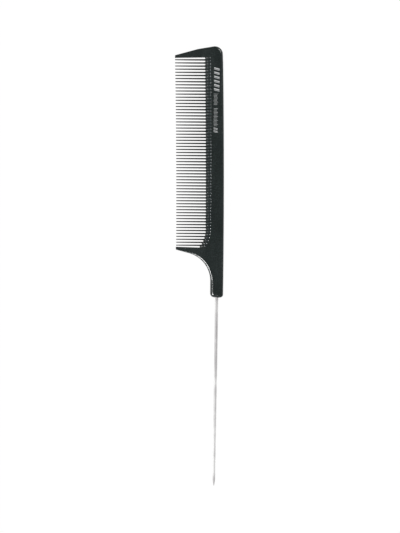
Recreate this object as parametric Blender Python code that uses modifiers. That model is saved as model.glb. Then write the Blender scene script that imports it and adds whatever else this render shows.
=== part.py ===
"""Rat tail comb: a carbon-filled moulding with 62 fine teeth, and a steel pin for a tail. It lies flat.

Metres, +Z up. Everything is laid out in the comb's own frame: its origin is where the pin leaves the
boss, at half thickness, +Y runs to the head and +X to the back, so the teeth point along -X. The empty
comb_origin carries that frame to where the object rests on z = 0, centred on the world's origin.
"""

import math

import bmesh
import bpy
from mathutils import Vector

MM = 0.001

# The moulding: thickness, rim and the long bowed edges
THICKNESS = 4.0 * MM
TIP_THICKNESS = 1.7 * MM
RIM_RADIUS = 1.1 * MM
RIM_SEGMENTS = 3
RIM_SHARE_AT_TIPS = 0.22
BACK_X = 3.37 * MM
BOW_RADIUS = 4150 * MM
BOW_CENTRE_Y = 32 * MM
BACK_START_Y = 2.5 * MM
BACK_END_Y = 120 * MM
BACK_PIECES = 6

# The head and the two guards
HEAD_CORNER = Vector((2.02, 129.52)) * MM
HEAD_RADIUS = 4.1 * MM
HEAD_KINK = Vector((-10.6, 127.29)) * MM
HEAD_KINK_RADIUS = 3.0 * MM
TOP_GUARD_TIP = Vector((-22.3, 124.0)) * MM
TOP_GUARD_RADIUS = 0.4 * MM
HEEL_GUARD_TIP = Vector((-21.15, 24.6)) * MM
HEEL_GUARD_RADIUS = 0.35 * MM

# The heel and the boss
HEEL_RADIUS = 14.55 * MM
HEEL_CORNER_Y = 19.9 * MM
BOSS_TEETH_SIDE_X = -3.42 * MM
BOSS_CORNER_Y = 0.68 * MM
BOSS_BACK_CORNER_Y = 0.55 * MM
BOSS_CORNER_RADIUS_TEETH_SIDE = 2.1 * MM
BOSS_CORNER_RADIUS_BACK_SIDE = 1.5 * MM
BOSS_END = Vector((0.45, 0.0)) * MM
BOSS_END_RADIUS = 4.0 * MM

# The rim swells to nearly a half circle on the teeth's side of the boss
BOSS_RIM_RADIUS = 1.9 * MM
BOSS_RIM_START_Y = 12 * MM
BOSS_RIM_FULL_Y = 7 * MM
BOSS_RIM_START_X = 2.5 * MM
BOSS_RIM_FULL_X = -0.5 * MM

# The row of teeth
TEETH = 62
FIRST_TOOTH_Y = 121.7 * MM
FIRST_PITCH = 1.607 * MM
PITCH_LOSS = 0.00172 * MM
TIP_REACH_AT_HEAD = 24.68 * MM
TIP_REACH_AT_HEEL = 24.38 * MM
SPINE_WIDTH = 9.34 * MM
SPINE_EDGE_X = BACK_X - SPINE_WIDTH
TOOTH_WIDTH_AT_TIP = 0.46 * MM
TOOTH_WIDTH_AT_ROOT = 0.72 * MM
TIP_RELIEF_LENGTH = 0.4 * MM
TIP_RELIEF_WIDTH = 0.06 * MM
GUARD_SWELL = 0.28 * MM
ROOT_ARC_STEPS = 4
HEEL_ROOTS_START_Y = 35 * MM
HEEL_ROOTS_RADIUS = 14.8 * MM

# The sunk ramp that leads from each gap on to the faces of the spine
RAMP_LENGTH = 2.75 * MM
RAMP_WIDTH_SHARE = 0.72
RAMP_DEPTH_AT_ROOT = 0.9 * MM
RAMP_DEPTH_AT_END = 0.25 * MM
RAMP_END_LENGTH = 0.35 * MM

# The steel pin and its socket
PIN_LENGTH = 96.1 * MM
PIN_LEAN = math.radians(0.47)
PIN_RADIUS = 0.87 * MM
PIN_RADIUS_AT_POINT = 0.72 * MM
POINT_LENGTH = 4.7 * MM
POINT_END_RADIUS = 0.1 * MM
POINT_STEPS = 5
ROOT_LENGTH = 26 * MM
ROOT_CHAMFER = 0.3 * MM
ROOT_GROOVES = 4
GROOVE_RADIUS = 0.5 * MM
GROOVE_WIDTH = 2.4 * MM
GROOVE_PITCH = 5 * MM
FIRST_GROOVE_DEPTH = 5 * MM
SOCKET_GAP = 0.25 * MM
ROUND_STEPS = 16

ARC_STEP = math.radians(9)
OVERRUN = 2 * MM
MERGE = 0.01 * MM


def clear_scene():
    for thing in list(bpy.data.objects):
        bpy.data.objects.remove(thing)


def new_collection(name):
    collection = bpy.data.collections.new(name)
    bpy.context.scene.collection.children.link(collection)
    return collection


def plastic_or_steel(name, colour, roughness, metallic):
    material = bpy.data.materials.new(name)
    material.use_nodes = True
    shader = material.node_tree.nodes["Principled BSDF"]
    shader.inputs["Base Color"].default_value = (*colour, 1)
    shader.inputs["Roughness"].default_value = roughness
    shader.inputs["Metallic"].default_value = metallic
    return material


def add_object(name, mesh, collection, origin):
    thing = bpy.data.objects.new(name, mesh)
    thing.parent = origin
    collection.objects.link(thing)
    return thing


def add_cutter(name, mesh, collection, origin):
    cutter = add_object(name, mesh, collection, origin)
    cutter.hide_render = True
    cutter.display_type = "WIRE"
    return cutter


def cut(target, cutter):
    boolean = target.modifiers.new(cutter.name, "BOOLEAN")
    boolean.operation = "DIFFERENCE"
    boolean.object = cutter


# Where things are


def back_x(y):
    """The back edge bows out a little, and the roots and the tips of the teeth follow it."""
    return BACK_X - (y - BOW_CENTRE_Y) ** 2 / (2 * BOW_RADIUS)


def tooth_y(number):
    """The middle of a tooth, counted from the head. The pitch narrows steadily towards the heel."""
    return FIRST_TOOTH_Y - FIRST_PITCH * number + PITCH_LOSS * number**2 / 2


def tip_x(y):
    along = (y - tooth_y(TEETH - 1)) / (tooth_y(0) - tooth_y(TEETH - 1))
    return back_x(y) - TIP_REACH_AT_HEEL - along * (TIP_REACH_AT_HEAD - TIP_REACH_AT_HEEL)


def root_x(y):
    """The closed end of a gap. The last few gaps shorten along an arc above the heel."""
    past_start = max(0, HEEL_ROOTS_START_Y - y)
    arc_offset = HEEL_ROOTS_RADIUS - math.sqrt(HEEL_ROOTS_RADIUS**2 - past_start**2)
    return back_x(y) - SPINE_WIDTH - arc_offset


def gaps():
    """The middle, pitch, tip and root of every gap, and on which side it has a guard, if any."""
    for number in range(TEETH + 1):
        middle = tooth_y(number - 0.5)
        pitch = tooth_y(number - 1) - tooth_y(number)
        guard_side = {0: 1, TEETH: -1}.get(number, 0)
        yield middle, pitch, tip_x(middle), root_x(middle), guard_side


# The moulding's outline


def fillet(before, corner, after, radius):
    """The arc that rounds one corner of a polygon."""
    to_before = (before - corner).normalized()
    to_after = (after - corner).normalized()
    half_angle = to_before.angle(to_after) / 2
    setback = radius / math.tan(half_angle)
    centre = corner + (to_before + to_after).normalized() * radius / math.sin(half_angle)
    start = corner + to_before * setback - centre
    end = corner + to_after * setback - centre
    steps = max(1, math.ceil(start.angle(end) / ARC_STEP))
    return [centre + start.slerp(end, step / steps) * radius for step in range(steps + 1)]


def back_edge():
    step = (BACK_END_Y - BACK_START_Y) / BACK_PIECES
    heights = [BACK_START_Y + step * number for number in range(BACK_PIECES + 1)]
    return [Vector((back_x(y), y)) for y in heights]


def tip_edge():
    """The line of the tooth tips, from the head to the heel. The guards at its ends stand proud of it."""
    first, last = tooth_y(0), tooth_y(TEETH - 1)
    step = (last - first) / BACK_PIECES
    heights = [first + step * number for number in range(BACK_PIECES + 1)]
    return [Vector((tip_x(y), y)) for y in heights]


def outline():
    """The moulding seen from above, anticlockwise from the boss, before its gaps are cut."""
    boss_teeth_side = Vector((BOSS_TEETH_SIDE_X, BOSS_CORNER_Y))
    boss_back_side = Vector((back_x(0), BOSS_BACK_CORNER_Y))
    heel = Vector((BOSS_TEETH_SIDE_X, HEEL_CORNER_Y))
    back = back_edge()
    tips = tip_edge()
    top_guard_foot = Vector((TOP_GUARD_TIP.x, tooth_y(-0.8)))
    heel_guard_foot = Vector((HEEL_GUARD_TIP.x, tooth_y(TEETH - 0.2)))
    return [
        *fillet(heel, boss_teeth_side, BOSS_END, BOSS_CORNER_RADIUS_TEETH_SIDE),
        *fillet(boss_teeth_side, BOSS_END, boss_back_side, BOSS_END_RADIUS),
        *fillet(BOSS_END, boss_back_side, back[0], BOSS_CORNER_RADIUS_BACK_SIDE),
        *back,
        *fillet(back[-1], HEAD_CORNER, HEAD_KINK, HEAD_RADIUS),
        *fillet(HEAD_CORNER, HEAD_KINK, TOP_GUARD_TIP, HEAD_KINK_RADIUS),
        *fillet(HEAD_KINK, TOP_GUARD_TIP, top_guard_foot, TOP_GUARD_RADIUS),
        top_guard_foot,
        *tips,
        heel_guard_foot,
        *fillet(heel_guard_foot, HEEL_GUARD_TIP, heel, HEEL_GUARD_RADIUS),
        *fillet(HEEL_GUARD_TIP, heel, boss_teeth_side, HEEL_RADIUS),
    ]


# The moulding


def share_of_reach(x):
    """0 on the spine, rising steadily along the teeth to 1 at the tips of the guards."""
    return min(1, max(0, (SPINE_EDGE_X - x) / (SPINE_EDGE_X - HEEL_GUARD_TIP.x)))


def rim_radius(point):
    """The rim is wide on the teeth's side of the boss, and dwindles from the spine to the tips."""
    along = (BOSS_RIM_START_Y - point.y) / (BOSS_RIM_START_Y - BOSS_RIM_FULL_Y)
    across = (BOSS_RIM_START_X - point.x) / (BOSS_RIM_START_X - BOSS_RIM_FULL_X)
    boss_share = min(1, max(0, along)) * min(1, max(0, across))
    spine_rim = RIM_RADIUS + (BOSS_RIM_RADIUS - RIM_RADIUS) * boss_share
    return spine_rim * (1 - share_of_reach(point.x) * (1 - RIM_SHARE_AT_TIPS))


def inward(points):
    """For each point of the outline, the step inwards that sets both of its edges in by 1."""
    steps = []
    for index, point in enumerate(points):
        along_before = (point - points[index - 1]).normalized()
        along_after = (points[(index + 1) % len(points)] - point).normalized()
        before = Vector((-along_before.y, along_before.x))
        after = Vector((-along_after.y, along_after.x))
        steps.append((before + after) / (1 + before.dot(after)))
    return steps


def rim_profile():
    """The side of the slab from its lower to its upper face: angle, and which face it belongs to."""
    quarter = [math.radians(90 * step / RIM_SEGMENTS) for step in range(RIM_SEGMENTS + 1)]
    return [(-angle, -1) for angle in reversed(quarter)] + [(angle, 1) for angle in quarter]


def rounded_slab(points):
    """The outline as a slab with a round rim, which is fully round on the spine and dwindles to the tips."""
    shape = bmesh.new()
    rings = []
    for angle, side in rim_profile():
        ring = []
        for point, step in zip(points, inward(points)):
            rim = rim_radius(point)
            place = point + step * rim * (1 - math.cos(angle))
            height = side * (THICKNESS / 2 - rim) + rim * math.sin(angle)
            ring.append(shape.verts.new((place.x, place.y, height)))
        rings.append(ring)
    for below, above in zip(rings, rings[1:]):
        for index in range(len(points)):
            corners = [below[index - 1], below[index], above[index], above[index - 1]]
            shape.faces.new(corners).smooth = True
    shape.faces.new(rings[0][::-1])
    shape.faces.new(rings[-1])
    bmesh.ops.triangulate(shape, faces=shape.faces)
    return shape


def thin_towards_tips(shape):
    """Tapers the row of teeth and its guards in thickness, from the edge of the spine to the tips."""
    bmesh.ops.bisect_plane(
        shape,
        geom=[*shape.verts, *shape.edges, *shape.faces],
        plane_co=(SPINE_EDGE_X, 0, 0),
        plane_no=(1, 0, 0),
    )
    for vertex in shape.verts:
        vertex.co.z *= 1 - share_of_reach(vertex.co.x) * (1 - TIP_THICKNESS / THICKNESS)
    bmesh.ops.triangulate(shape, faces=shape.faces)


def prism(shape, plan, low, high):
    """Adds an upright prism on a plan outline to a bmesh."""
    floor = [shape.verts.new((x, y, low)) for x, y in plan]
    bottom = shape.faces.new(floor)
    raised = bmesh.ops.extrude_face_region(shape, geom=[bottom])["geom"]
    for item in raised:
        if isinstance(item, bmesh.types.BMVert):
            item.co.z = high


def finished_mesh(shape, name):
    bmesh.ops.recalc_face_normals(shape, faces=shape.faces)
    mesh = bpy.data.meshes.new(name)
    shape.to_mesh(mesh)
    shape.free()
    return mesh


def gap_side(pitch, tip, side, guard_side):
    """The straight part of one side of a gap, from the mouth: x, and the distance from its middle."""
    if side == guard_side:
        at_guard = side * ((pitch - TOOTH_WIDTH_AT_ROOT) / 2 - GUARD_SWELL)
        return [(tip - OVERRUN, at_guard), (tip, at_guard)]
    half_mouth = (pitch - TOOTH_WIDTH_AT_TIP) / 2
    relief = side * (half_mouth + TIP_RELIEF_WIDTH)
    return [(tip - OVERRUN, relief), (tip, relief), (tip + TIP_RELIEF_LENGTH, side * half_mouth)]


def gap_plan(middle, pitch, tip, root, guard_side):
    """One gap from above: it narrows inwards between teeth, and is closed by a half circle."""
    half_root = (pitch - TOOTH_WIDTH_AT_ROOT) / 2
    arc = []
    for step in range(ROOT_ARC_STEPS + 1):
        angle = math.pi * (step / ROOT_ARC_STEPS - 0.5)
        arc.append((root + half_root * (math.cos(angle) - 1), half_root * math.sin(angle)))
    lower = gap_side(pitch, tip, -1, guard_side)
    upper = gap_side(pitch, tip, 1, guard_side)
    return [(x, middle + y) for x, y in lower + arc + upper[::-1]]


def gap_cutters():
    shape = bmesh.new()
    for gap in gaps():
        prism(shape, gap_plan(*gap), -THICKNESS, THICKNESS)
    return finished_mesh(shape, "gaps")


def ramp_cutters(side):
    """The sunk ramps of one face, each an extruded side view: deep at the gap, shallow at its end."""
    shape = bmesh.new()
    face = side * THICKNESS / 2
    for middle, pitch, _, root, _ in gaps():
        half_width = RAMP_WIDTH_SHARE * (pitch - TOOTH_WIDTH_AT_ROOT) / 2
        start, end = root - half_width, root + RAMP_LENGTH
        side_view = [
            (start, face + side * OVERRUN),
            (start, face - side * RAMP_DEPTH_AT_ROOT),
            (end - RAMP_END_LENGTH, face - side * RAMP_DEPTH_AT_END),
            (end, face),
            (end, face + side * OVERRUN),
        ]
        edge = [shape.verts.new((x, middle - half_width, z)) for x, z in side_view]
        near = shape.faces.new(edge)
        raised = bmesh.ops.extrude_face_region(shape, geom=[near])["geom"]
        for item in raised:
            if isinstance(item, bmesh.types.BMVert):
                item.co.y = middle + half_width
    return finished_mesh(shape, "ramps")


# The pin and its socket


def root_profile(gap):
    """The held end of the pin, from its top down to the boss: radius and height. With a gap, the socket."""
    radius = PIN_RADIUS + gap
    top = ROOT_LENGTH + gap
    profile = [(0, top), (radius - ROOT_CHAMFER, top), (radius, top - ROOT_CHAMFER)]
    for number in reversed(range(ROOT_GROOVES)):
        low = FIRST_GROOVE_DEPTH + GROOVE_PITCH * number
        for height in (low + GROOVE_WIDTH - gap, low + gap):
            radii = (radius, GROOVE_RADIUS + gap)
            if height < low + GROOVE_WIDTH / 2:
                radii = radii[::-1]
            profile += [(each, height) for each in radii]
    return profile


def tail_profile():
    """The free part of the pin, down to its point: a slight taper, then a blunt ogive."""
    profile = [(PIN_RADIUS, 0)]
    for step in range(POINT_STEPS + 1):
        along = step / POINT_STEPS
        radius = PIN_RADIUS_AT_POINT * (1 - along**2) + POINT_END_RADIUS * along**2
        profile.append((radius, POINT_LENGTH * (1 - along) - PIN_LENGTH))
    return [*profile, (0, -PIN_LENGTH)]


def turned(name, profile, collection, origin):
    """A profile turned about the pin's axis, which leans a little towards the teeth."""
    mesh = bpy.data.meshes.new(name)
    points = [(radius, 0, height) for radius, height in profile]
    mesh.from_pydata(points, [(index, index + 1) for index in range(len(points) - 1)], [])
    thing = add_object(name, mesh, collection, origin)
    thing.rotation_euler = (math.radians(-90), 0, -PIN_LEAN)
    screw = thing.modifiers.new("turned", "SCREW")
    screw.steps = screw.render_steps = ROUND_STEPS
    screw.use_merge_vertices = True
    screw.merge_threshold = MERGE
    screw.use_smooth_shade = True
    return thing


# The object


def make_comb_body(collection, cutters, origin):
    shape = rounded_slab(outline())
    thin_towards_tips(shape)
    mesh = finished_mesh(shape, "comb_body")
    mesh.materials.append(plastic_or_steel("carbon_plastic", (0.020, 0.028, 0.028), 0.42, 0))
    body = add_object("comb_body", mesh, collection, origin)
    cut(body, add_cutter("gap_cutter", gap_cutters(), cutters, origin))
    cut(body, add_cutter("ramp_cutter_top", ramp_cutters(1), cutters, origin))
    cut(body, add_cutter("ramp_cutter_underside", ramp_cutters(-1), cutters, origin))
    below_boss = [(PIN_RADIUS + SOCKET_GAP, -OVERRUN), (0, -OVERRUN)]
    socket = turned("socket_cutter", root_profile(SOCKET_GAP) + below_boss, cutters, origin)
    socket.hide_render = True
    socket.display_type = "WIRE"
    cut(body, socket)
    return body


def make_tail_pin(collection, origin):
    pin = turned("tail_pin", root_profile(0) + tail_profile(), collection, origin)
    pin.data.materials.append(plastic_or_steel("steel", (0.62, 0.61, 0.60), 0.28, 1))
    return pin


def rest_on_ground(parts, origin):
    """Moves the comb's frame so that the object's box stands on z = 0, centred on the world's Z axis."""
    bpy.context.view_layer.update()
    graph = bpy.context.evaluated_depsgraph_get()
    points = []
    for part in parts:
        evaluated = part.evaluated_get(graph)
        mesh = evaluated.to_mesh()
        points += [evaluated.matrix_world @ vertex.co for vertex in mesh.vertices]
        evaluated.to_mesh_clear()
    low = Vector([min(point[axis] for point in points) for axis in range(3)])
    high = Vector([max(point[axis] for point in points) for axis in range(3)])
    middle = (low + high) / 2
    origin.location = (-middle.x, -middle.y, -low.z)


def main():
    clear_scene()
    comb = new_collection("rat_tail_comb")
    cutters = new_collection("cutters")
    origin = bpy.data.objects.new("comb_origin", None)
    comb.objects.link(origin)
    body = make_comb_body(comb, cutters, origin)
    pin = make_tail_pin(comb, origin)
    rest_on_ground([body, pin], origin)


main()
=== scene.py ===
"""Rat tail comb: the looks of the moulding, its steel pin and its print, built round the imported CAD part.

The pieces are laid out in the comb's own frame, in metres: the origin is where the pin leaves the boss,
at half thickness, +Y runs to the head and +X to the back, so the teeth point along -X.
"""

import math

import bmesh
import bpy
from mathutils import Matrix, Vector


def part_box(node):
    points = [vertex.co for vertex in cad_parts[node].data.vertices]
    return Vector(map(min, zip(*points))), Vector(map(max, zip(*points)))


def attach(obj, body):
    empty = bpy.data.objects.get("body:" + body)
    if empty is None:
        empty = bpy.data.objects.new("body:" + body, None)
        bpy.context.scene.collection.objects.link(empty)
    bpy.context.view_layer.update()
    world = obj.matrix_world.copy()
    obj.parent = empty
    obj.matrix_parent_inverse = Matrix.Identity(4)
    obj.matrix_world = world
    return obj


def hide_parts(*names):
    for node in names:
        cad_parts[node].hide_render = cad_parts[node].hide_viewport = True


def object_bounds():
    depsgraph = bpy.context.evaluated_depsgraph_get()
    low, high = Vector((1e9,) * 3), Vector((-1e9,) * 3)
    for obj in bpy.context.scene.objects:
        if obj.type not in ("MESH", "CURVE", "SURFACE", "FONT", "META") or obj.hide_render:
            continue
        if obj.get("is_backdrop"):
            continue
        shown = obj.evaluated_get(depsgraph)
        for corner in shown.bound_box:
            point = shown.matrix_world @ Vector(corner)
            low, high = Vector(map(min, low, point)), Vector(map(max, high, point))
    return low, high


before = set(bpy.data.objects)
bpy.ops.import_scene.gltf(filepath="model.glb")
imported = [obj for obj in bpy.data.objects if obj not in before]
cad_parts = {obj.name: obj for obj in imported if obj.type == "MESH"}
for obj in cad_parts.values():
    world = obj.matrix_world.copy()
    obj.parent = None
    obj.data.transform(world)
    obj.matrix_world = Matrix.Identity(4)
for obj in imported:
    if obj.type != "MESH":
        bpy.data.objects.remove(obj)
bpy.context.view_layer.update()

MM = 0.001

# The moulding's outline, as in the CAD part
THICKNESS = 3.98 * MM
TIP_THICKNESS = 1.69 * MM
BACK_X = 3.37 * MM
BOW_RADIUS = 4150 * MM
BOW_CENTRE_Y = 32 * MM
BACK_START_Y = 2.5 * MM
BACK_END_Y = 120 * MM
EDGE_PIECES = 24
HEAD_CORNER = Vector((2.02, 129.52)) * MM
HEAD_RADIUS = 4.1 * MM
HEAD_KINK = Vector((-10.6, 127.29)) * MM
HEAD_KINK_RADIUS = 3.0 * MM
TOP_GUARD_TIP = Vector((-22.285, 124.0)) * MM
TOP_GUARD_RADIUS = 0.4 * MM
HEEL_GUARD_TIP = Vector((-21.15, 24.6)) * MM
HEEL_GUARD_RADIUS = 0.35 * MM
HEEL_RADIUS = 14.55 * MM
HEEL_CORNER_Y = 19.9 * MM
BOSS_TEETH_SIDE_X = -3.42 * MM
BOSS_CORNER_Y = 0.68 * MM
BOSS_BACK_CORNER_Y = 0.55 * MM
BOSS_CORNER_RADIUS_TEETH_SIDE = 2.1 * MM
BOSS_CORNER_RADIUS_BACK_SIDE = 1.5 * MM
BOSS_END = Vector((0.45, 0.0)) * MM
BOSS_END_RADIUS = 4.0 * MM
ARC_STEP = math.radians(3)

# The rim swells to nearly a half circle on the teeth's side of the boss
BOSS_RIM_RADIUS = 1.9 * MM
BOSS_RIM_START_Y = 12 * MM
BOSS_RIM_FULL_Y = 7 * MM
BOSS_RIM_START_X = 2.5 * MM
BOSS_RIM_FULL_X = -0.5 * MM

# Its side: a parting line at half thickness, a little draft and a round rim
RIM_RADIUS = 1.1 * MM
RIM_SHARE_AT_TIPS = 0.22
RIM_SEGMENTS = 9
SEAM_HEIGHT = 0.05 * MM
SEAM_INSET = 0.035 * MM
DRAFT = 0.05 * MM
SIDE_LOSS_AT_TIPS = 0.8  # the share by which the seam and the draft dwindle towards the tips

# The row of teeth
TEETH = 62
FIRST_TOOTH_Y = 121.7 * MM
FIRST_PITCH = 1.607 * MM
PITCH_LOSS = 0.00172 * MM
TIP_REACH_AT_HEAD = 24.68 * MM
TIP_REACH_AT_HEEL = 24.38 * MM
SPINE_WIDTH = 9.34 * MM
SPINE_EDGE_X = BACK_X - SPINE_WIDTH
TAPER_BLEND = 0.9 * MM
TAPER_BLEND_STEPS = 6
TOOTH_WIDTH_AT_TIP = 0.46 * MM
TOOTH_WIDTH_AT_ROOT = 0.755 * MM
TOOTH_TAPER = 0.75  # below 1, a tooth widens fastest next to its tip
TOOTH_STATIONS = (0.12, 0.25, 0.5, 0.75)
TOOTH_END_LENGTH = 0.25 * MM
TOOTH_END_HALF_WIDTH = 0.03 * MM
TOOTH_END_STEPS = 5
TOOTH_EDGE_RADIUS = 0.11 * MM
TOOTH_EDGE_ANGLES = (0, 25, 50, 70)
GUARD_SWELL = 0.28 * MM
TOP_GUARD_FOOT_NUMBER = -0.8
HEEL_GUARD_FOOT_NUMBER = TEETH - 0.2
ROOT_ARC_STEPS = 10
ROOT_ARC_LENGTH = 0.60 * MM
ROOT_ARC_PAST_END = 0.17 * MM
ROOT_ARC_LEAD_IN = 0.1  # how far a gap's side stops short of the arc, as a share of half the gap's width
HEEL_ROOTS_START_Y = 35 * MM
HEEL_ROOTS_RADIUS = 14.8 * MM
OVERRUN = 2 * MM

# The sunk groove beyond each gap: distance from the gap's end, depth and half width in mm, squareness
GROOVE = (
    (-0.45, 1.00, 0.37, 0.2),
    (0.17, 0.90, 0.37, 0.2),
    (0.50, 0.64, 0.39, 0.2),
    (0.87, 0.36, 0.40, 0.2),
    (1.35, 0.27, 0.43, 0.2),
    (1.80, 0.190, 0.46, 0.25),
    (2.00, 0.180, 0.51, 0.5),
    (2.12, 0.180, 0.56, 0.8),
    (2.25, 0.185, 0.59, 0.95),
    (2.37, 0.183, 0.59, 1.0),
    (2.48, 0.172, 0.57, 1.0),
    (2.58, 0.151, 0.52, 1.0),
    (2.66, 0.124, 0.46, 1.0),
    (2.73, 0.092, 0.38, 1.0),
    (2.78, 0.063, 0.30, 1.0),
    (2.82, 0.036, 0.22, 1.0),
    (2.85, 0.010, 0.12, 1.0),
)
GROOVE_SIDES = 24
GROOVE_GROWTH_START_Y = 60 * MM
GROOVE_LENGTHENING = 1.6  # the share that they gain in length for each metre towards the head

# The steel pin
PIN_LENGTH = 96.1 * MM
PIN_LEAN = math.radians(0.47)
PIN_RADIUS = 0.87 * MM
PIN_RADIUS_AT_POINT = 0.72 * MM
POINT_LENGTH = 4.7 * MM
POINT_END_RADIUS = 0.1 * MM
POINT_STEPS = 16
POINT_STEP_DEPTH = 0.04 * MM
PIN_END_PLAY = 0.004 * MM
PIN_STATIONS = 60
PIN_SIDES = 40
SOCKET_DEPTH = 4 * MM
SOCKET_MOUTH = 0.1 * MM
SOCKET_PLAY = 0.03 * MM
SOCKET_CHAMFER = 0.12 * MM
PIN_HELD_LENGTH = 3.6 * MM

# The print, in mm: plain slanted bars and ticks in place of lettering. Each bar has two strokes, and the
# edges say where a stroke starts and ends below the bar's top. A fine group is its top and its count.
PRINT_HEIGHT = 0.012 * MM
PRINT_SINK = 0.004 * MM
BOLD_BARS = {"top": 117.9, "pitch": 2.13, "count": 6, "left": -2.18, "right": 0.60, "slant": 0.75}
BOLD_BAR_EDGES = ((0.0, 0.41), (0.76, 0.97))
SMALL_BARS = {"top": 87.1, "pitch": 1.45, "count": 2, "left": -2.25, "right": -0.2, "slant": 0.45}
SMALL_BAR_EDGES = ((0.0, 0.23), (0.58, 0.75))
FINE_GROUPS = ((104.3, 9), (96.9, 14))
FINE_PITCH = 0.68
FINE_TICK = 0.105
FINE_LEFT = -2.25
FINE_RIGHT_LONG = -0.10
FINE_RIGHT_SHORT = -0.55
FINE_LONG_EVERY = 3

# The plastic. Noise scales are per metre, stretches multiply them along X, Y and Z.
PLASTIC_DARK = (0.0005, 0.0080, 0.0070)
PLASTIC_LIGHT = (0.0100, 0.0235, 0.0220)
# Painted light: the brownish cast that light scattering through the thin teeth gives them, put into their
# colour
TEETH_SCATTERED_LIGHT_PAINT = (0.0215, 0.0245, 0.0230)
# Painted highlight: the sunk grooves are painted lighter and bluer, as their spots of reflected light look
GROOVE_HIGHLIGHT_PAINT = (0.0150, 0.0290, 0.0340)
GRAIN_SCALE, GRAIN_SHARE = 5200, 0.2
SPECK_SCALE, SPECK_SHARE = 1900, 0.5
CLOUD_SCALE, CLOUD_SHARE = 160, 0.3
CLOUD_STRETCH = (1, 0.35, 1)
PLASTIC_TONE_RANGE = (0.38, 0.62)
PLASTIC_FINISH_RANGE = (0.75, 1.25)
PLASTIC_ROUGHNESS = (0.17, 0.27)
GRAIN_DEPTH, GRAIN_STRENGTH = 0.004 * MM, 0.5
CLOUD_DEPTH, CLOUD_STRENGTH = 0.02 * MM, 0.3

# Where the painted light fades in, the brown cast of scattered light on the teeth and the highlight in the
# grooves: X or Z, or the number along the row of teeth
TEETH_SCATTER_PAINT_X = (SPINE_EDGE_X - 1 * MM, SPINE_EDGE_X - 4 * MM)
ROW_TOP_NUMBERS = (-0.3, -0.6)
ROW_HEEL_NUMBERS = (TEETH - 0.7, TEETH - 0.4)
GROOVES_LEFT_X = SPINE_EDGE_X - 0.2 * MM
GROOVES_RIGHT_X = -2.4 * MM
SUNK_Z = (THICKNESS / 2 - 0.04 * MM, THICKNESS / 2 - 0.09 * MM)

# The steel
STEEL_DULL = (0.62, 0.605, 0.61)
STEEL_BRIGHT = (0.94, 0.935, 0.93)
LINE_SCALE = 5200
LINE_STRETCH = (1, 0.02, 1)
LINE_DEPTH, LINE_STRENGTH = 0.01 * MM, 0.4
PATCH_SCALE = 130
PATCH_STRETCH = (0.6, 0.6, 0.6)
# The steel's tone shifts along the pin: duller near the boss, a little brighter towards the point
SHINE_RAMP_Y = (-10 * MM, -75 * MM)
SHINE_SHIFT = (-0.14, 0.05)
STEEL_SHINE_RANGE = (0.38, 0.60)
STEEL_FINISH_RANGE = (0.8, 1.2)
STEEL_ROUGHNESS = (0.22, 0.36)

# The ink
INK_THIN = (0.66, 0.68, 0.69)
INK_FULL = (0.93, 0.94, 0.95)
COVER_SCALE = 7000
COVER_DEPTH, COVER_STRENGTH = 0.004 * MM, 0.5
INK_TONE_RANGE = (0.36, 0.60)
INK_FINISH_RANGE = (0.3, 0.7)
INK_ROUGHNESS = (0.75, 0.55)

# Shading: the angle above which an edge is drawn sharp, in degrees
MOULDING_SHARP_ANGLE = 26
PIN_SHARP_ANGLE = 35
FLAT_FACE_WEIGHT = 80

# The floor and the sky. A ramp is where a level fades in, in the direction's X, Y or Z.
FLOOR_HALF = 6.0
FLOOR_GLOW = 0.98
FLOOR_COLOUR = (0.05, 0.05, 0.05)
FLOOR_ROUGHNESS = 0.9
SKY_OVERHEAD = 0.32
SKY_LEFT, SKY_LEFT_RAMP = 1.05, (-0.16, -0.38)
SKY_RIGHT, SKY_RIGHT_RAMP = 0.55, (0.25, 0.80)
SKY_SHARE_AT_HEAD, SKY_HEAD_RAMP = 0.5, (0.15, 0.75)
SKY_HORIZON, SKY_HORIZON_RAMP = 1.1, (0.03, 0.20)

# The lights: azimuth from +X towards +Y and elevation in degrees, width and height in metres, radiance
LIGHT_DISTANCE = 2.0
PRINT_LIGHT = (0, 70, (0.8, 0.8), 6)
PIN_LIGHT = (0, 68, (2.4, 2.4), 0.3)
MOULDING_LIGHTS = {
    "key_left": (212, 48, (1.1, 0.45), 45),
    "key_below": (223, 35, (1.25, 0.24), 38),
    "corner": (46, 54, (0.50, 0.20), 90),
}

# The camera: straight down, with the comb turned a little clockwise in the picture
CAMERA_TURN = math.radians(0.43)
CAMERA_HEIGHT = 2.0
CAMERA_AIM = Vector((0.785, -0.30)) * MM
CAMERA_CLIP = (0.1, 50)
VIEW_LENGTH = 272.4 * MM
SENSOR = 36.0


# Where things are


def comb_origin():
    """The comb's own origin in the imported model, found from its two CAD nodes."""
    body_low, body_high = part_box("comb_body")
    pin_low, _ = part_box("tail_pin")
    return Vector(
        (
            body_high.x - BACK_X,
            pin_low.y + PIN_LENGTH * math.cos(PIN_LEAN),
            (body_low.z + body_high.z) / 2,
        )
    )


ORIGIN = comb_origin()


def back_x(y):
    return BACK_X - (y - BOW_CENTRE_Y) ** 2 / (2 * BOW_RADIUS)


def tooth_y(number):
    return FIRST_TOOTH_Y - FIRST_PITCH * number + PITCH_LOSS * number**2 / 2


def tip_x(y):
    along = (y - tooth_y(TEETH - 1)) / (tooth_y(0) - tooth_y(TEETH - 1))
    return back_x(y) - TIP_REACH_AT_HEEL - along * (TIP_REACH_AT_HEAD - TIP_REACH_AT_HEEL)


def root_x(y):
    past_start = max(0, HEEL_ROOTS_START_Y - y)
    arc_offset = HEEL_ROOTS_RADIUS - math.sqrt(HEEL_ROOTS_RADIUS**2 - past_start**2)
    return back_x(y) - SPINE_WIDTH - arc_offset


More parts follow.
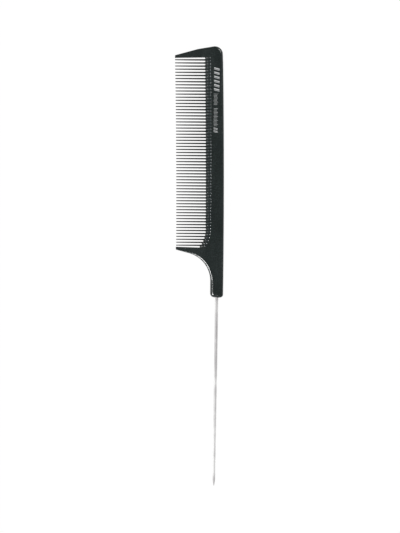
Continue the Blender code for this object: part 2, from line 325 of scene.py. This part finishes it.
def gaps():
    """The middle, pitch, tip and root of every gap, and on which side it has a guard, if any."""
    for number in range(TEETH + 1):
        middle = tooth_y(number - 0.5)
        pitch = tooth_y(number - 1) - tooth_y(number)
        guard_side = {0: 1, TEETH: -1}.get(number, 0)
        yield middle, pitch, tip_x(middle), root_x(middle), guard_side


def share_of_reach(x):
    """0 on the spine, rising steadily along the teeth to 1 at the tips of the guards."""
    return min(1, max(0, (SPINE_EDGE_X - x) / (SPINE_EDGE_X - HEEL_GUARD_TIP.x)))


def thinning(x):
    """The thickness of the moulding at x, as a share. It eases from the flat spine into the taper."""
    loss = 1 - TIP_THICKNESS / THICKNESS
    into_blend = SPINE_EDGE_X + TAPER_BLEND - x
    if 0 < into_blend < 2 * TAPER_BLEND:
        reach = SPINE_EDGE_X - HEEL_GUARD_TIP.x
        return 1 - loss * into_blend**2 / (4 * TAPER_BLEND) / reach
    return 1 - loss * share_of_reach(x)


def rim_radius(point):
    """The rim is wide on the teeth's side of the boss, and dwindles from the spine to the tips."""
    along = (BOSS_RIM_START_Y - point.y) / (BOSS_RIM_START_Y - BOSS_RIM_FULL_Y)
    across = (BOSS_RIM_START_X - point.x) / (BOSS_RIM_START_X - BOSS_RIM_FULL_X)
    boss_share = min(1, max(0, along)) * min(1, max(0, across))
    spine_rim = RIM_RADIUS + (BOSS_RIM_RADIUS - RIM_RADIUS) * boss_share
    return spine_rim * (1 - share_of_reach(point.x) * (1 - RIM_SHARE_AT_TIPS))


def face_height(x):
    return THICKNESS / 2 * thinning(x)


# Mesh tools


def new_object(name, shape, material):
    """A piece from a bmesh, with its origin at the comb's own origin."""
    bmesh.ops.recalc_face_normals(shape, faces=shape.faces)
    mesh = bpy.data.meshes.new(name)
    shape.to_mesh(mesh)
    shape.free()
    if material:
        mesh.materials.append(material)
    thing = bpy.data.objects.new(name, mesh)
    thing.location = ORIGIN
    bpy.context.scene.collection.objects.link(thing)
    return thing


def loft(shape, rings):
    """Adds a closed skin through rings of points that all have the same count."""
    made = [[shape.verts.new(point) for point in ring] for ring in rings]
    for below, above in zip(made, made[1:]):
        for index in range(len(below)):
            face = [below[index - 1], below[index], above[index], above[index - 1]]
            shape.faces.new(face).smooth = True
    shape.faces.new(made[0][::-1])
    shape.faces.new(made[-1])


def cut(target, cutters):
    """Takes the cutters out of the target's mesh, one after the other, and removes them."""
    for cutter in cutters:
        boolean = target.modifiers.new(cutter.name, "BOOLEAN")
        boolean.operation = "DIFFERENCE"
        boolean.solver = "MANIFOLD"
        boolean.object = cutter
    bpy.context.view_layer.update()
    graph = bpy.context.evaluated_depsgraph_get()
    result = bpy.data.meshes.new_from_object(target.evaluated_get(graph))
    target.modifiers.clear()
    result.name = target.data.name
    target.data = result
    for cutter in cutters:
        bpy.data.objects.remove(cutter)


def smooth(thing, sharp_degrees):
    """Smooth shading that keeps the flats flat and the edges above that angle sharp."""
    mesh = thing.data
    mesh.shade_smooth()
    mesh.set_sharp_from_angle(angle=math.radians(sharp_degrees))
    weighted = thing.modifiers.new("weighted", "WEIGHTED_NORMAL")
    weighted.keep_sharp = True
    weighted.weight = FLAT_FACE_WEIGHT


# The moulding's outline


def fillet(before, corner, after, radius):
    to_before = (before - corner).normalized()
    to_after = (after - corner).normalized()
    half_angle = to_before.angle(to_after) / 2
    setback = radius / math.tan(half_angle)
    centre = corner + (to_before + to_after).normalized() * radius / math.sin(half_angle)
    start = corner + to_before * setback - centre
    end = corner + to_after * setback - centre
    steps = max(1, math.ceil(start.angle(end) / ARC_STEP))
    return [centre + start.slerp(end, step / steps) * radius for step in range(steps + 1)]


def evenly(start, end, pieces):
    return [start + (end - start) * number / pieces for number in range(pieces + 1)]


def outline():
    """The moulding seen from above, anticlockwise from the boss, before its gaps are cut."""
    boss_teeth_side = Vector((BOSS_TEETH_SIDE_X, BOSS_CORNER_Y))
    boss_back_side = Vector((back_x(0), BOSS_BACK_CORNER_Y))
    heel = Vector((BOSS_TEETH_SIDE_X, HEEL_CORNER_Y))
    back = [Vector((back_x(y), y)) for y in evenly(BACK_START_Y, BACK_END_Y, EDGE_PIECES)]
    tips = [Vector((tip_x(y), y)) for y in evenly(tooth_y(0), tooth_y(TEETH - 1), EDGE_PIECES)]
    top_guard_foot = Vector((TOP_GUARD_TIP.x, tooth_y(TOP_GUARD_FOOT_NUMBER)))
    heel_guard_foot = Vector((HEEL_GUARD_TIP.x, tooth_y(HEEL_GUARD_FOOT_NUMBER)))
    return [
        *fillet(heel, boss_teeth_side, BOSS_END, BOSS_CORNER_RADIUS_TEETH_SIDE),
        *fillet(boss_teeth_side, BOSS_END, boss_back_side, BOSS_END_RADIUS),
        *fillet(BOSS_END, boss_back_side, back[0], BOSS_CORNER_RADIUS_BACK_SIDE),
        *back,
        *fillet(back[-1], HEAD_CORNER, HEAD_KINK, HEAD_RADIUS),
        *fillet(HEAD_CORNER, HEAD_KINK, TOP_GUARD_TIP, HEAD_KINK_RADIUS),
        *fillet(HEAD_KINK, TOP_GUARD_TIP, top_guard_foot, TOP_GUARD_RADIUS),
        top_guard_foot,
        *tips,
        heel_guard_foot,
        *fillet(heel_guard_foot, HEEL_GUARD_TIP, heel, HEEL_GUARD_RADIUS),
        *fillet(HEEL_GUARD_TIP, heel, boss_teeth_side, HEEL_RADIUS),
    ]


def inward(points):
    """For each point of the outline, the step inwards that sets both of its edges in by 1."""
    steps = []
    for index, point in enumerate(points):
        along_before = (point - points[index - 1]).normalized()
        along_after = (points[(index + 1) % len(points)] - point).normalized()
        before = Vector((-along_before.y, along_before.x))
        after = Vector((-along_after.y, along_after.x))
        steps.append((before + after) / (1 + before.dot(after)))
    return steps


def side_profile():
    """The upper half of the side, from the parting line to the face: inset, and angle round the rim."""
    profile = [(0, None), (SEAM_INSET, None)]
    profile += [(DRAFT, math.radians(90 * step / RIM_SEGMENTS)) for step in range(RIM_SEGMENTS + 1)]
    return profile


def side_ring(points, steps, inset, angle, side):
    """One ring of the slab's skin. Without an angle, it runs along the parting line or its bead."""
    ring = []
    for point, step in zip(points, steps):
        rim = rim_radius(point)
        shallow = 1 - SIDE_LOSS_AT_TIPS * share_of_reach(point.x)
        if angle is None:
            set_in, height = inset * shallow, SEAM_HEIGHT if inset else 0
        else:
            set_in = inset * shallow + rim * (1 - math.cos(angle))
            height = THICKNESS / 2 - rim * (1 - math.sin(angle))
        place = point + step * set_in
        ring.append((place.x, place.y, side * height))
    return ring


def slab():
    """The outline as a slab with a round rim, thinned from the spine towards the tips."""
    points = outline()
    steps = inward(points)
    upper = side_profile()
    rings = [side_ring(points, steps, *row, -1) for row in reversed(upper[1:])]
    rings += [side_ring(points, steps, *row, 1) for row in upper]
    shape = bmesh.new()
    loft(shape, rings)
    for number in range(TAPER_BLEND_STEPS + 1):
        across = SPINE_EDGE_X + TAPER_BLEND * (1 - 2 * number / TAPER_BLEND_STEPS)
        bmesh.ops.bisect_plane(
            shape,
            geom=[*shape.verts, *shape.edges, *shape.faces],
            plane_co=(across, 0, 0),
            plane_no=(1, 0, 0),
        )
    for vertex in shape.verts:
        vertex.co.z *= thinning(vertex.co.x)
    bmesh.ops.triangulate(shape, faces=shape.faces)
    return shape


# What is cut out of it


def tooth_half_width(x, tip, root):
    """Half the width of a tooth: a steady taper with a round end."""
    along = min(1, max(0, (x - tip) / (root - tip)))
    half = (TOOTH_WIDTH_AT_TIP + (TOOTH_WIDTH_AT_ROOT - TOOTH_WIDTH_AT_TIP) * along**TOOTH_TAPER) / 2
    from_end = max(0, x - tip)
    if from_end < TOOTH_END_LENGTH:
        half *= math.sqrt(1 - (1 - from_end / TOOTH_END_LENGTH) ** 2)
    return half


def gap_side(pitch, tip, root, widen, along_guard):
    """One side of a gap from its mouth inwards: x, and the distance from the middle of the gap."""
    half_root = (pitch - TOOTH_WIDTH_AT_ROOT) / 2
    stations = [tip - OVERRUN, tip]
    for step in range(1, TOOTH_END_STEPS + 1):
        stations.append(tip + TOOTH_END_LENGTH * (step / TOOTH_END_STEPS) ** 2)
    stations += [tip + (root - tip) * share for share in TOOTH_STATIONS]
    last = min(root - half_root, SPINE_EDGE_X - TAPER_BLEND)
    stations.append(last - half_root * ROOT_ARC_LEAD_IN)
    side = []
    for x in stations:
        if along_guard:
            from_root = min(1, max(0, (root - x) / (root - tip)))
            side.append((x, half_root + widen - GUARD_SWELL * from_root))
        else:
            half_tooth = tooth_half_width(x, tip, root) - widen
            side.append((x, pitch / 2 - max(half_tooth, TOOTH_END_HALF_WIDTH)))
    return side


def gap_ring(gap, widen, drop, side):
    """A gap's outline, widened by that much, at that drop below the face of the moulding."""
    middle, pitch, tip, root, guard_side = gap
    half_root = (pitch - TOOTH_WIDTH_AT_ROOT) / 2
    lower = gap_side(pitch, tip, root, widen, guard_side == -1)
    upper = gap_side(pitch, tip, root, widen, guard_side == 1)
    arc = []
    for step in range(ROOT_ARC_STEPS + 1):
        angle = math.pi * (step / ROOT_ARC_STEPS - 0.5)
        along = (ROOT_ARC_LENGTH + widen) * math.cos(angle)
        across = (half_root + widen) * math.sin(angle)
        arc.append((root + ROOT_ARC_PAST_END - ROOT_ARC_LENGTH + along, across))
    plan = [(x, -y) for x, y in lower] + arc + upper[::-1]
    return [(x, middle + y, side * (face_height(x) - drop)) for x, y in plan]


def gap_cutters():
    shape = bmesh.new()
    radius = TOOTH_EDGE_RADIUS
    for gap in gaps():
        rows = []
        for degrees in TOOTH_EDGE_ANGLES:
            angle = math.radians(degrees)
            rows.append((radius * (1 - math.cos(angle)), radius * (1 - math.sin(angle))))
        rows.append((radius, -OVERRUN))
        rings = [gap_ring(gap, *row, -1) for row in reversed(rows)]
        rings += [gap_ring(gap, *row, 1) for row in rows]
        loft(shape, rings)
    return new_object("gaps", shape, None)


def groove_cutters(side):
    """The sunk grooves of one face: scoops that leave each gap deep and narrow and end wide and round."""
    shape = bmesh.new()
    for middle, pitch, _, root, _ in gaps():
        stretch = 1 + GROOVE_LENGTHENING * max(0, middle - GROOVE_GROWTH_START_Y)
        rings = []
        for from_root, depth, half_width_mm, squareness in GROOVE:
            half_width = half_width_mm * MM * pitch / FIRST_PITCH
            x = root + from_root * MM * stretch
            face = face_height(x)
            ring = [(x, middle - half_width, side * (face + OVERRUN))]
            for step in range(GROOVE_SIDES + 1):
                angle = math.pi * (1 - step / GROOVE_SIDES)
                share = abs(math.cos(angle)) ** squareness
                across = math.copysign(half_width * share, math.cos(angle))
                down = depth * MM * max(0, math.sin(angle)) ** squareness
                ring.append((x, middle + across, side * (face - down)))
            ring.append((x, middle + half_width, side * (face + OVERRUN)))
            rings.append(ring)
        loft(shape, rings)
    return new_object(f"grooves_{side}", shape, None)


# The pin


def turned(name, profile, material):
    """A profile of radius and distance up the pin's axis, turned about that axis."""
    lean = Matrix.Rotation(-PIN_LEAN, 4, "Z")
    rings = []
    for radius, along in profile:
        ring = []
        for step in range(PIN_SIDES):
            angle = 2 * math.pi * step / PIN_SIDES
            around = Vector((radius * math.cos(angle), along, radius * math.sin(angle)))
            ring.append(lean @ around)
        rings.append(ring)
    shape = bmesh.new()
    loft(shape, rings)
    return new_object(name, shape, material)


def socket_cutter():
    radius = PIN_RADIUS + SOCKET_PLAY
    profile = [
        (radius + SOCKET_CHAMFER, SOCKET_MOUTH - OVERRUN),
        (radius + SOCKET_CHAMFER, SOCKET_MOUTH),
        (radius, SOCKET_MOUTH + SOCKET_CHAMFER),
        (radius, SOCKET_DEPTH),
    ]
    return turned("socket", profile, None)


def pin_profile():
    """The shown length of the pin, from inside the socket down to its ground point."""
    profile = [(PIN_RADIUS, PIN_HELD_LENGTH)]
    free = PIN_LENGTH - POINT_LENGTH
    for along in evenly(0, 1, PIN_STATIONS):
        radius = PIN_RADIUS + (PIN_RADIUS_AT_POINT - PIN_RADIUS) * along
        profile.append((radius, -free * along))
    ground_radius = PIN_RADIUS_AT_POINT - POINT_STEP_DEPTH
    ground_length = POINT_LENGTH - 2 * PIN_END_PLAY
    for along in evenly(0, 1, POINT_STEPS):
        radius = ground_radius * (1 - along**2) + POINT_END_RADIUS * along**2
        step_length = POINT_STEP_DEPTH if along == 0 else 0
        profile.append((radius, -free - ground_length * along - step_length))
    profile.append((POINT_END_RADIUS / 2, -PIN_LENGTH + PIN_END_PLAY))
    return profile


# The print


def bar(shape, left, right, top, low, slant):
    """One slanted bar of ink on the upper face, in mm."""
    plan = [(left, low), (right, low - slant), (right, top - slant), (left, top)]
    bottom = THICKNESS / 2 - PRINT_SINK
    loft(shape, [[(x * MM, y * MM, z) for x, y in plan] for z in (bottom, bottom + PRINT_HEIGHT)])


def row_of_bars(shape, row, edges):
    """A row of bars, each of them one stroke for each pair of edges."""
    for number in range(row["count"]):
        start = row["top"] - row["pitch"] * number
        for near, far in edges:
            bar(shape, row["left"], row["right"], start - near, start - far, row["slant"])


def make_print(material):
    shape = bmesh.new()
    row_of_bars(shape, BOLD_BARS, BOLD_BAR_EDGES)
    for top, count in FINE_GROUPS:
        for number in range(count):
            start = top - FINE_PITCH * number
            right = FINE_RIGHT_SHORT if number % FINE_LONG_EVERY else FINE_RIGHT_LONG
            bar(shape, FINE_LEFT, right, start, start - FINE_TICK, 0)
    row_of_bars(shape, SMALL_BARS, SMALL_BAR_EDGES)
    return new_object("print_marks", shape, material)


# Materials


def new_material(name):
    material = bpy.data.materials.new(name)
    material.use_nodes = True
    tree = material.node_tree
    return material, tree, tree.nodes["Principled BSDF"]


def node(tree, kind, **values):
    """A node with its properties set, and its inputs by name or number."""
    made = tree.nodes.new(kind)
    for key, value in values.pop("inputs", {}).items():
        made.inputs[key].default_value = value
    for key, value in values.items():
        setattr(made, key, value)
    return made


def noise_at(tree, vector, scale, detail, rough):
    made = node(tree, "ShaderNodeTexNoise", inputs={"Scale": scale, "Detail": detail, "Roughness": rough})
    tree.links.new(vector, made.inputs["Vector"])
    return made.outputs["Fac"]


def stretched(tree, vector, scale):
    made = node(tree, "ShaderNodeMapping")
    made.inputs["Scale"].default_value = scale
    tree.links.new(vector, made.inputs["Vector"])
    return made.outputs["Vector"]


def remap(tree, value, low, high, to_low, to_high):
    """The value moved from one range to another, and held at its ends."""
    ranges = {"From Min": low, "From Max": high, "To Min": to_low, "To Max": to_high}
    made = node(tree, "ShaderNodeMapRange", inputs=ranges)
    tree.links.new(value, made.inputs["Value"])
    return made.outputs["Result"]


def mix_colours(tree, share, first, second):
    """Each of first and second is a colour or the output of another mix."""
    made = node(tree, "ShaderNodeMix", data_type="RGBA")
    tree.links.new(share, made.inputs["Factor"])
    sockets = [socket for socket in made.inputs if socket.type == "RGBA"]
    for socket, colour in zip(sockets, (first, second)):
        if isinstance(colour, tuple):
            socket.default_value = (*colour, 1)
        else:
            tree.links.new(colour, socket)
    return next(socket for socket in made.outputs if socket.type == "RGBA")


def maths(tree, operation, first, second):
    made = node(tree, "ShaderNodeMath", operation=operation)
    for socket, value in zip(made.inputs, (first, second)):
        if isinstance(value, (int, float)):
            socket.default_value = value
        else:
            tree.links.new(value, socket)
    return made.outputs[0]


def bump(tree, height, distance, strength, normal=None):
    made = node(tree, "ShaderNodeBump", inputs={"Strength": strength, "Distance": distance})
    tree.links.new(height, made.inputs["Height"])
    if normal:
        tree.links.new(normal, made.inputs["Normal"])
    return made.outputs["Normal"]


def product(tree, *values):
    result = values[0]
    for value in values[1:]:
        result = maths(tree, "MULTIPLY", result, value)
    return result


def within_row(tree, along):
    """1 from the first to the last tooth along Y, fading to 0 on the guards."""
    top_start, top_end = (tooth_y(number) for number in ROW_TOP_NUMBERS)
    heel_start, heel_end = (tooth_y(number) for number in ROW_HEEL_NUMBERS)
    below_top = remap(tree, along, top_start, top_end, 1, 0)
    above_heel = remap(tree, along, heel_start, heel_end, 1, 0)
    return product(tree, below_top, above_heel)


def groove_highlight_mask(tree, where, in_row):
    """Where the grooves' painted highlight goes: 1 below the face where the grooves lie, on both sides of
    the moulding.
    """
    right_of = maths(tree, "GREATER_THAN", where["X"], GROOVES_LEFT_X)
    left_of = maths(tree, "LESS_THAN", where["X"], GROOVES_RIGHT_X)
    sunk = remap(tree, maths(tree, "ABSOLUTE", where["Z"], 0), *SUNK_Z, 0, 1)
    return product(tree, right_of, left_of, in_row, sunk)


def plastic_material():
    """Carbon-filled plastic: near black with a cold cast, satin, with a fine grain and faint clouds. The
    teeth carry a painted brown cast of scattered light and the grooves a painted highlight.
    """
    material, tree, shader = new_material("carbon_plastic")
    place = node(tree, "ShaderNodeTexCoord").outputs["Object"]
    grain = noise_at(tree, place, GRAIN_SCALE, 3, 0.6)
    clouds = noise_at(tree, stretched(tree, place, CLOUD_STRETCH), CLOUD_SCALE, 4, 0.6)
    specks = noise_at(tree, place, SPECK_SCALE, 2, 0.5)
    fine = maths(tree, "ADD", product(tree, grain, GRAIN_SHARE), product(tree, specks, SPECK_SHARE))
    tone = maths(tree, "ADD", fine, product(tree, clouds, CLOUD_SHARE))
    share = remap(tree, tone, *PLASTIC_TONE_RANGE, 0, 1)
    colour = mix_colours(tree, share, PLASTIC_DARK, PLASTIC_LIGHT)
    axes = node(tree, "ShaderNodeSeparateXYZ")
    tree.links.new(place, axes.inputs[0])
    where = axes.outputs
    in_row = within_row(tree, where["Y"])
    scatter_paint_share = remap(tree, where["X"], *TEETH_SCATTER_PAINT_X, 0, 1)
    # Painted light: the teeth, but not the guards, take the brown cast of light scattered through them
    colour = mix_colours(tree, product(tree, scatter_paint_share, in_row), colour, TEETH_SCATTERED_LIGHT_PAINT)
    # Painted highlight: the grooves below the face take a lighter, bluer colour
    colour = mix_colours(tree, groove_highlight_mask(tree, where, in_row), colour, GROOVE_HIGHLIGHT_PAINT)
    tree.links.new(colour, shader.inputs["Base Color"])
    finish = maths(tree, "ADD", specks, clouds)
    rough = remap(tree, finish, *PLASTIC_FINISH_RANGE, *PLASTIC_ROUGHNESS)
    tree.links.new(rough, shader.inputs["Roughness"])
    grained = bump(tree, grain, GRAIN_DEPTH, GRAIN_STRENGTH)
    normal = bump(tree, clouds, CLOUD_DEPTH, CLOUD_STRENGTH, grained)
    tree.links.new(normal, shader.inputs["Normal"])
    return material


def steel_material():
    """Drawn steel: lines along its length and cloudy patches, duller near the boss and a little brighter
    towards the point.
    """
    material, tree, shader = new_material("steel")
    place = node(tree, "ShaderNodeTexCoord").outputs["Object"]
    lines = noise_at(tree, stretched(tree, place, LINE_STRETCH), LINE_SCALE, 3, 0.6)
    patches = noise_at(tree, stretched(tree, place, PATCH_STRETCH), PATCH_SCALE, 2, 0.5)
    axes = node(tree, "ShaderNodeSeparateXYZ")
    tree.links.new(place, axes.inputs[0])
    shine_shift = remap(tree, axes.outputs["Y"], *SHINE_RAMP_Y, *SHINE_SHIFT)
    shine = remap(tree, maths(tree, "ADD", patches, shine_shift), *STEEL_SHINE_RANGE, 0, 1)
    tree.links.new(mix_colours(tree, shine, STEEL_DULL, STEEL_BRIGHT), shader.inputs["Base Color"])
    finish = maths(tree, "ADD", lines, patches)
    rough = remap(tree, finish, *STEEL_FINISH_RANGE, *STEEL_ROUGHNESS)
    tree.links.new(rough, shader.inputs["Roughness"])
    tree.links.new(bump(tree, lines, LINE_DEPTH, LINE_STRENGTH), shader.inputs["Normal"])
    shader.inputs["Metallic"].default_value = 1
    return material


def ink_material():
    """Pad-printed ink: matt off-white with a little of the dark plastic grinning through."""
    material, tree, shader = new_material("print_ink")
    place = node(tree, "ShaderNodeTexCoord").outputs["Object"]
    cover = noise_at(tree, place, COVER_SCALE, 3, 0.6)
    share = remap(tree, cover, *INK_TONE_RANGE, 0, 1)
    tree.links.new(mix_colours(tree, share, INK_THIN, INK_FULL), shader.inputs["Base Color"])
    rough = remap(tree, cover, *INK_FINISH_RANGE, *INK_ROUGHNESS)
    tree.links.new(rough, shader.inputs["Roughness"])
    tree.links.new(bump(tree, cover, COVER_DEPTH, COVER_STRENGTH), shader.inputs["Normal"])
    return material


# The stage


def make_floor():
    """A white light table, so that the gaps between the teeth stay as white as the floor around."""
    material, tree, shader = new_material("floor")
    shader.inputs["Base Color"].default_value = (*FLOOR_COLOUR, 1)
    shader.inputs["Roughness"].default_value = FLOOR_ROUGHNESS
    shader.inputs["Specular IOR Level"].default_value = 0
    shader.inputs["Emission Color"].default_value = (1, 1, 1, 1)
    shader.inputs["Emission Strength"].default_value = FLOOR_GLOW
    mesh = bpy.data.meshes.new("floor")
    half = FLOOR_HALF
    corners = [(-half, -half, 0), (half, -half, 0), (half, half, 0), (-half, half, 0)]
    mesh.from_pydata(corners, [], [(0, 1, 2, 3)])
    mesh.materials.append(material)
    floor = bpy.data.objects.new("floor", mesh)
    bpy.context.scene.collection.objects.link(floor)
    floor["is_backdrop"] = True


def receivers(name, thing):
    """A collection of that one piece, for a light that reaches nothing else."""
    collection = bpy.data.collections.new(name)
    collection.objects.link(thing)
    return collection


def area_light(name, azimuth, elevation, size, radiance, lit, diffuse=False):
    """A soft box that makes highlights, or with diffuse only lightens matt surfaces."""
    light = bpy.data.lights.new(name, "AREA")
    light.shape = "RECTANGLE"
    light.size, light.size_y = size
    light.energy = radiance * size[0] * size[1] * math.pi
    lamp = bpy.data.objects.new(name, light)
    turn, rise = math.radians(azimuth), math.radians(elevation)
    level = math.cos(rise)
    back = Vector((math.cos(turn) * level, math.sin(turn) * level, math.sin(rise)))
    lamp.location = back * LIGHT_DISTANCE
    lamp.rotation_euler = back.to_track_quat("Z", "Y").to_euler()
    lamp.visible_camera = False
    lamp.visible_diffuse = diffuse
    lamp.visible_glossy = not diffuse
    lamp.light_linking.receiver_collection = lit
    bpy.context.scene.collection.objects.link(lamp)


def make_world():
    """A pale studio: white at the horizon, brighter on the teeth's side and dim beyond the head."""
    world = bpy.data.worlds.new("studio")
    bpy.context.scene.world = world
    world.use_nodes = True
    tree = world.node_tree
    direction = node(tree, "ShaderNodeTexCoord").outputs["Generated"]
    parts = node(tree, "ShaderNodeSeparateXYZ")
    tree.links.new(direction, parts.inputs[0])
    to_left = remap(tree, parts.outputs["X"], *SKY_LEFT_RAMP, SKY_OVERHEAD, SKY_LEFT)
    to_right = remap(tree, parts.outputs["X"], *SKY_RIGHT_RAMP, 0, SKY_RIGHT - SKY_OVERHEAD)
    to_head = remap(tree, parts.outputs["Y"], *SKY_HEAD_RAMP, 1, SKY_SHARE_AT_HEAD)
    sky = product(tree, maths(tree, "ADD", to_left, to_right), to_head)
    above = remap(tree, parts.outputs["Z"], *SKY_HORIZON_RAMP, 0, 1)
    level = product(tree, above, maths(tree, "SUBTRACT", sky, SKY_HORIZON))
    background = tree.nodes["Background"]
    tree.links.new(maths(tree, "ADD", level, SKY_HORIZON), background.inputs["Strength"])
    background.inputs["Color"].default_value = (1, 1, 1, 1)


def make_lights(moulding, pin, marks):
    area_light("print_light", *PRINT_LIGHT, receivers("lit_by_print_light", marks), diffuse=True)
    area_light("pin_light", *PIN_LIGHT, receivers("lit_by_pin_light", pin))
    lit = receivers("lit_by_soft_boxes", moulding)
    for name, light in MOULDING_LIGHTS.items():
        area_light(name, *light, lit)


def make_camera():
    low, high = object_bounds()
    middle = (low + high) / 2
    camera = bpy.data.cameras.new("camera")
    camera.type = "PERSP"
    camera.sensor_width = SENSOR
    camera.lens = SENSOR * CAMERA_HEIGHT / VIEW_LENGTH
    camera.clip_start, camera.clip_end = CAMERA_CLIP
    holder = bpy.data.objects.new("camera", camera)
    aim = Vector((middle.x + CAMERA_AIM.x, middle.y + CAMERA_AIM.y, high.z))
    holder.location = aim + Vector((0, 0, CAMERA_HEIGHT))
    holder.rotation_euler = (0, 0, CAMERA_TURN)
    bpy.context.scene.collection.objects.link(holder)
    bpy.context.scene.camera = holder


# The object


def make_moulding(material):
    moulding = new_object("comb_moulding", slab(), material)
    cut(moulding, [gap_cutters(), groove_cutters(1), groove_cutters(-1), socket_cutter()])
    smooth(moulding, MOULDING_SHARP_ANGLE)
    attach(moulding, "root")
    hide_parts("comb_body")
    return moulding


def make_pin(material):
    pin = turned("steel_pin", pin_profile(), material)
    smooth(pin, PIN_SHARP_ANGLE)
    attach(pin, "root")
    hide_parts("tail_pin")
    return pin


def add_print(material):
    marks = make_print(material)
    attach(marks, "root")
    return marks


def write_sizes():
    bpy.context.view_layer.update()


moulding = make_moulding(plastic_material())
pin = make_pin(steel_material())
marks = add_print(ink_material())
make_floor()
make_world()
make_lights(moulding, pin, marks)
make_camera()
bpy.context.scene.view_settings.view_transform = "Standard"
write_sizes()
